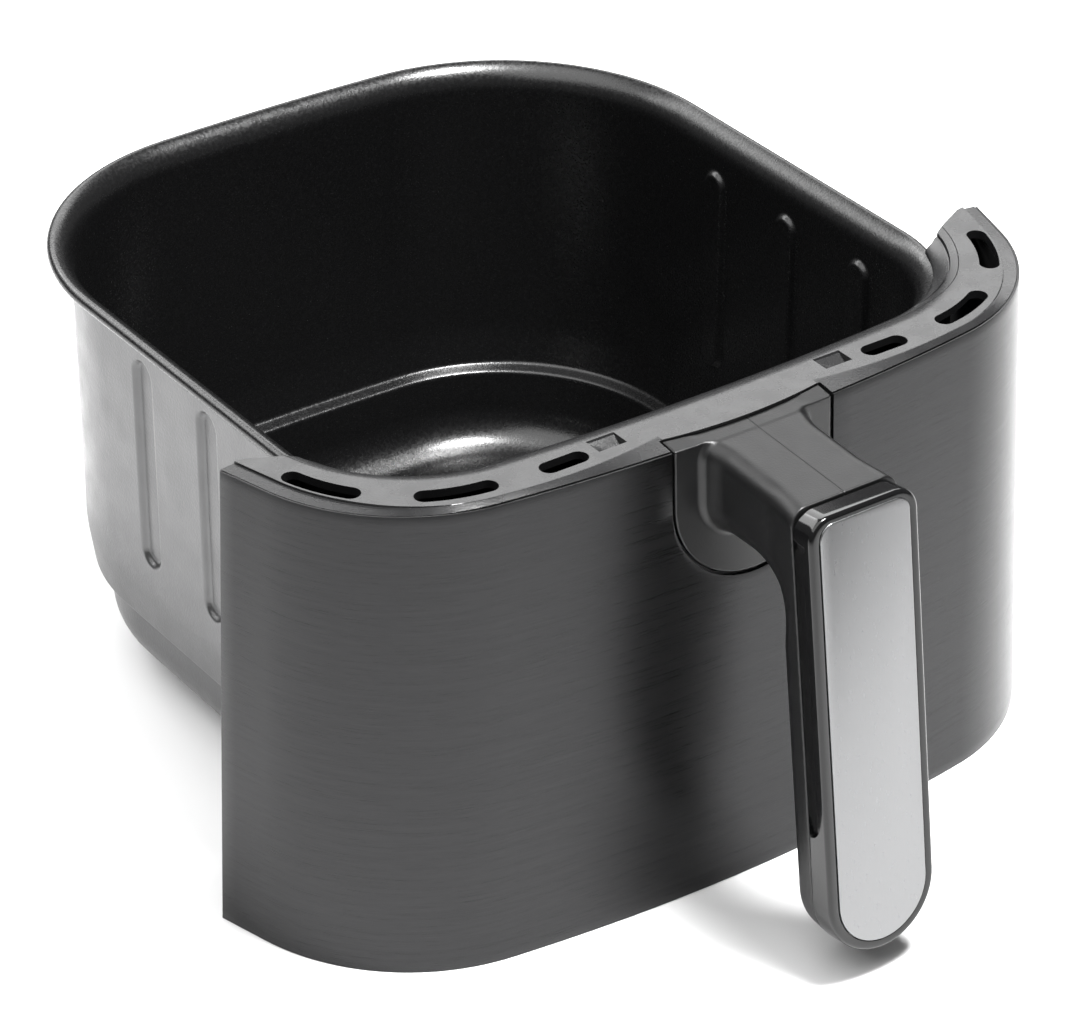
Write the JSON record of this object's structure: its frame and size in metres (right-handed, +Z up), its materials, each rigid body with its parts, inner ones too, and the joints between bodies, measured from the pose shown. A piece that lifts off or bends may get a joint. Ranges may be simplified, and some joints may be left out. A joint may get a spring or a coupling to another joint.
{
  "type": "air fryer drawer",
  "caption": "Basket air fryer drawer: deep drawn nonstick pan on a bowed brushed-metal front with a vented top trim and a fixed upright handle",
  "frame": {"origin": "on the surface that the drawer stands on, under the middle of its bounding box", "axes": "+Z up, the front and its handle face -Y, +X to the right seen from the front"},
  "size_m": [0.3058, 0.3468, 0.1612],
  "materials": {
    "nonstick_coating": "black nonstick coating, fine speckle, satin sheen",
    "dark_brushed_metal": "dark tinted metal with a fine horizontal brush",
    "bezel_plastic": "satin moulded plastic, charcoal",
    "handle_plastic": "fine matt moulded texture, charcoal",
    "gloss_black": "polished black",
    "silver_plate": "fine satin silver plate",
    "inner_plastic": "plain moulded black",
    "zinc_steel": "zinc-plated steel"
  },
  "bodies": {
    "root": {"pan": "nonstick_coating", "pan_front_bracket": "zinc_steel", "front_carrier": "inner_plastic", "rear_cover": "inner_plastic", "front_skin": "dark_brushed_metal", "top_bezel": "bezel_plastic", "handle_body": "handle_plastic", "handle_front_frame": "gloss_black", "handle_inlay": "silver_plate", "handle_mount_plate": "zinc_steel", "pan_screw_1": "zinc_steel", "pan_screw_2": "zinc_steel", "pan_screw_3": "zinc_steel", "pan_screw_4": "zinc_steel", "pan_nut_1": "zinc_steel", "pan_nut_2": "zinc_steel", "pan_nut_3": "zinc_steel", "pan_nut_4": "zinc_steel", "cover_screw_1": "zinc_steel", "cover_screw_2": "zinc_steel", "cover_screw_3": "zinc_steel", "cover_screw_4": "zinc_steel", "handle_screw_1": "zinc_steel", "handle_screw_2": "zinc_steel", "handle_screw_3": "zinc_steel", "frame_screw_1": "zinc_steel", "frame_screw_2": "zinc_steel", "frame_screw_3": "zinc_steel"}
  },
  "joints": []
}
